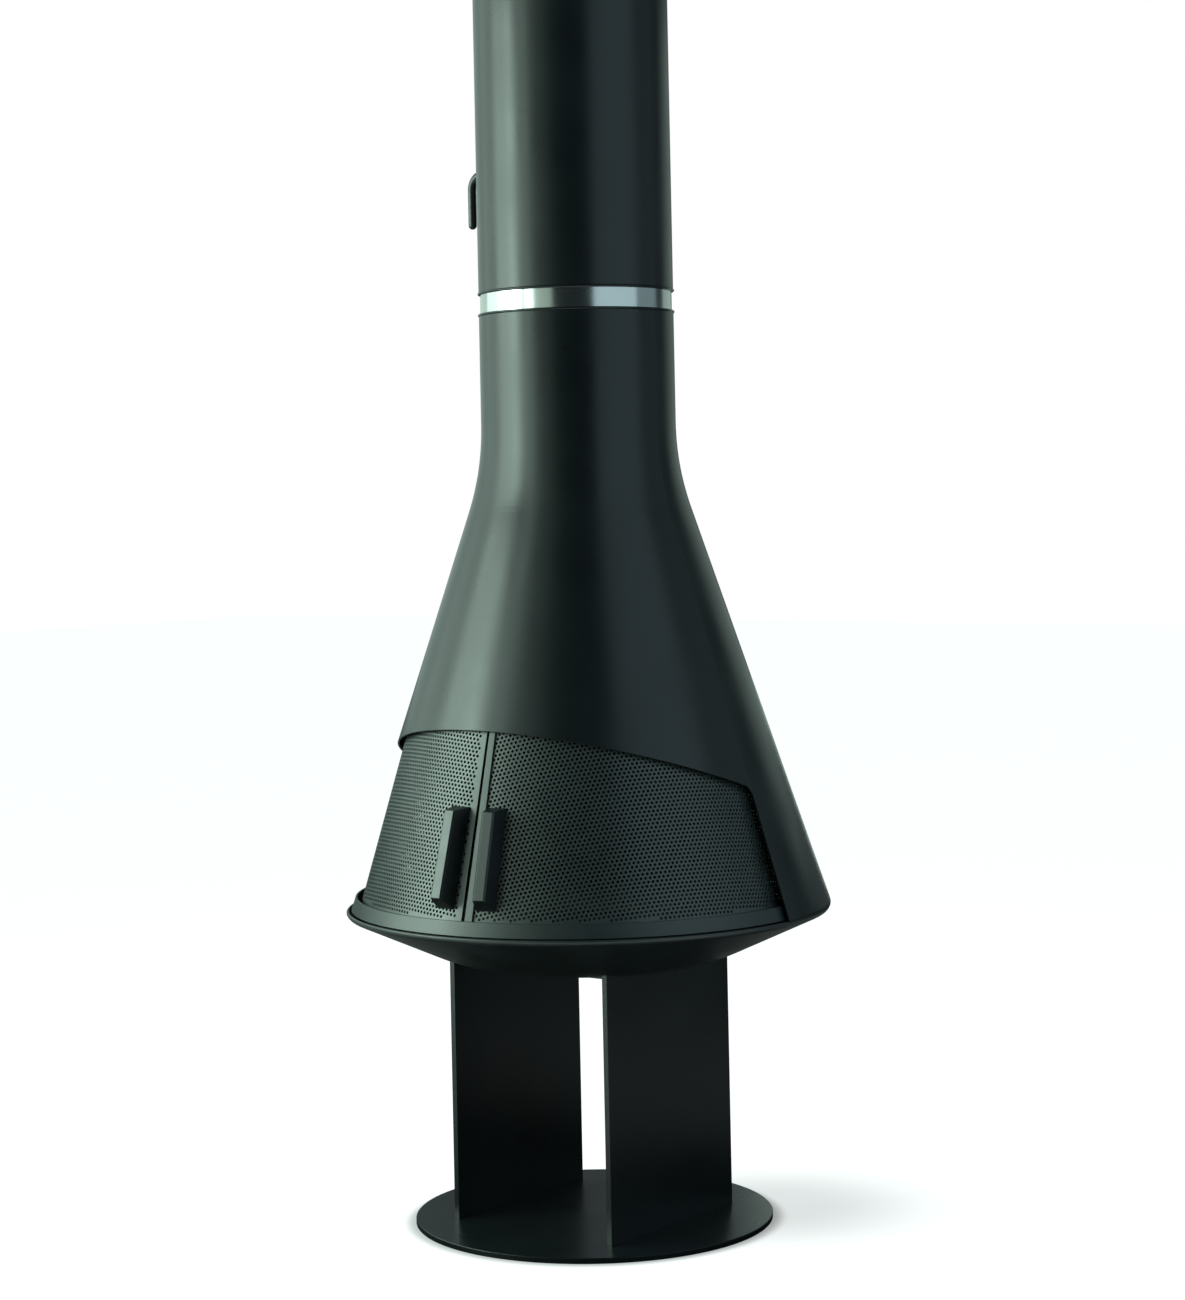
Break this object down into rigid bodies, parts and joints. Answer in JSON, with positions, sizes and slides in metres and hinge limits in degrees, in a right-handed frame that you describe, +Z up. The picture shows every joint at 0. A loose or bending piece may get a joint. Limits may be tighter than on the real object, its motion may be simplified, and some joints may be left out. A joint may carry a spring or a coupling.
{
  "type": "central wood fireplace",
  "caption": "Round central wood fireplace: conical hood with a slanted opening and sliding perforated doors, on a pedestal of upright plates, with a flue and damper.",
  "frame": {"origin": "middle of the base plate's underside, on the floor", "axes": "+Z up along the flue; -Y to the front, where the fire opens; +X to the right of someone facing the front"},
  "size_m": [0.8686, 0.8677, 2.2955],
  "materials": {
    "satin_black_paint": "satin heat-resistant anthracite",
    "dark_inner_paint": "matt heat-resistant black",
    "rim_paint": "satin heat-resistant grey-green",
    "door_paint": "satin heat-resistant grey-green",
    "handle_paint": "satin heat-resistant anthracite",
    "fire_bed_board": "dry, fine-grained mineral board, dark from soot",
    "cast_grate": "as cast",
    "pan_steel": "dull grey",
    "bright_steel": "polished round the flue",
    "pipe_steel": "plain mill finish",
    "zinc_steel": "zinc plated",
    "shaft_steel": "turned",
    "bush_brass": "turned"
  },
  "bodies": {
    "stove": {"base_plate": "satin_black_paint", "left_upright": "satin_black_paint", "right_upright": "satin_black_paint", "tie_plate": "satin_black_paint", "bowl_bolts": "zinc_steel", "bowl_nuts": "zinc_steel", "hearth_bowl": "rim_paint", "track_wall": "dark_inner_paint", "lip_ring": "rim_paint", "fire_bed": "fire_bed_board", "ash_pan": "pan_steel", "back_shield": "dark_inner_paint", "hood": "satin_black_paint", "throat_plate": "dark_inner_paint", "door_guide": "dark_inner_paint", "smoke_cone": "dark_inner_paint", "flue_pipe": "pipe_steel", "joint_band": "bright_steel", "lower_bead": "satin_black_paint", "upper_bead": "satin_black_paint", "flue_sleeve": "satin_black_paint", "lower_spacers": "pipe_steel", "upper_spacers": "pipe_steel", "left_bushing": "bush_brass", "right_bushing": "bush_brass"},
    "grate": {"fire_grate": "cast_grate"},
    "damper": {"damper_shaft": "shaft_steel", "damper_disc": "cast_grate", "damper_clips": "zinc_steel", "damper_lever": "handle_paint", "shaft_collar": "shaft_steel"},
    "left_door": {"left_mesh": "door_paint", "left_frame": "dark_inner_paint", "left_handle": "handle_paint", "left_screws": "zinc_steel", "left_hangers": "zinc_steel", "left_axles": "shaft_steel"},
    "right_door": {"right_mesh": "door_paint", "right_frame": "dark_inner_paint", "right_strip": "door_paint", "right_handle": "handle_paint", "right_screws": "zinc_steel", "right_hangers": "zinc_steel", "right_axles": "shaft_steel"},
    "left_roller_a": {"left_roller_a": "shaft_steel"},
    "left_roller_b": {"left_roller_b": "shaft_steel"},
    "right_roller_a": {"right_roller_a": "shaft_steel"},
    "right_roller_b": {"right_roller_b": "shaft_steel"}
  },
  "joints": [
    {"name": "left_door_turn", "type": "hinge", "parent": "stove", "child": "left_door", "pos_m": [0, 0, 0.56721], "axis": [0, 0, 1], "range_deg": [-85, 0]},
    {"name": "right_door_turn", "type": "hinge", "parent": "stove", "child": "right_door", "pos_m": [0, 0, 0.56721], "axis": [0, 0, 1], "range_deg": [0, 74]},
    {"name": "damper_turn", "type": "hinge", "parent": "stove", "child": "damper", "pos_m": [0, 0, 1.89197], "axis": [-1, 0, 0], "range_deg": [0, 90]},
    {"name": "grate_lift", "type": "slide", "parent": "stove", "child": "grate", "axis": [0, 0, 1], "range_m": [0, 0.06]},
    {"name": "left_roller_a_roll", "type": "hinge", "parent": "left_door", "child": "left_roller_a", "pos_m": [-0.39184, -0.0183, 0.57426], "axis": [-0.9989, -0.0466, 0], "range_deg": [-10, 5000]},
    {"name": "left_roller_b_roll", "type": "hinge", "parent": "left_door", "child": "left_roller_b", "pos_m": [0.01837, -0.39184, 0.57426], "axis": [0.0468, -0.9989, 0], "range_deg": [-10, 5000]},
    {"name": "right_roller_a_roll", "type": "hinge", "parent": "right_door", "child": "right_roller_a", "pos_m": [0.38592, 0.07032, 0.57426], "axis": [0.9838, 0.1793, 0], "range_deg": [-4500, 10]},
    {"name": "right_roller_b_roll", "type": "hinge", "parent": "right_door", "child": "right_roller_b", "pos_m": [0.07025, -0.38593, 0.57426], "axis": [0.1791, -0.9838, 0], "range_deg": [-4500, 10]}
  ],
  "couplings": [
    {"joint": "left_roller_a_roll", "follows": "left_door_turn", "ratio": -56.039},
    {"joint": "left_roller_b_roll", "follows": "left_door_turn", "ratio": -56.039},
    {"joint": "right_roller_a_roll", "follows": "right_door_turn", "ratio": -56.039},
    {"joint": "right_roller_b_roll", "follows": "right_door_turn", "ratio": -56.039}
  ]
}
